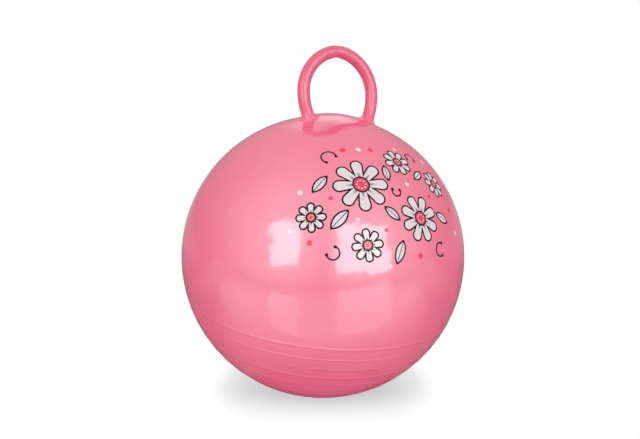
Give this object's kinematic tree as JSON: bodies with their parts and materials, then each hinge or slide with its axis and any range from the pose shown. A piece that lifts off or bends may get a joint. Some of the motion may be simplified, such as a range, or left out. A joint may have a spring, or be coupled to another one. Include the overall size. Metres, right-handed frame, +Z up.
{
  "type": "hopper ball",
  "caption": "Inflated vinyl bouncing ball to sit on, with a flexible loop handle to hold, a push-in valve plug and a flower print.",
  "frame": {"origin": "on the floor, under the middle of the ball and of its flat resting patch", "axes": "+Z up through the crown between the handle's roots, -Y towards the printed front, +X to the right as the print is seen"},
  "size_m": [0.4499, 0.45, 0.5515],
  "materials": {
    "skin_vinyl": "glossy soft vinyl",
    "handle_vinyl": "glossy soft vinyl",
    "seat_vinyl": "satin soft vinyl",
    "plug_plastic": "smooth polyethylene",
    "ink_white": "glossy ink",
    "ink_red": "glossy ink",
    "ink_dark": "glossy ink"
  },
  "bodies": {
    "ball": {"ball_skin": "skin_vinyl", "handle_root_left": "handle_vinyl", "handle_root_right": "handle_vinyl", "valve_seat": "seat_vinyl", "print_white": "ink_white", "print_red": "ink_red", "print_dark": "ink_dark"},
    "handle": {"handle_loop": "handle_vinyl"},
    "plug": {"valve_plug": "plug_plastic"}
  },
  "joints": [
    {"name": "handle_flex", "type": "hinge", "parent": "ball", "child": "handle", "pos_m": [0, 0, 0.44205], "axis": [1, 0, 0], "range_deg": [-30, 46], "stiffness_Nm_per_rad": 4, "deforming": ["handle_root_left", "handle_root_right"]},
    {"name": "plug_pull", "type": "slide", "parent": "ball", "child": "plug", "axis": [0, 0.4695, 0.8829], "range_m": [0, 0.024]}
  ]
}
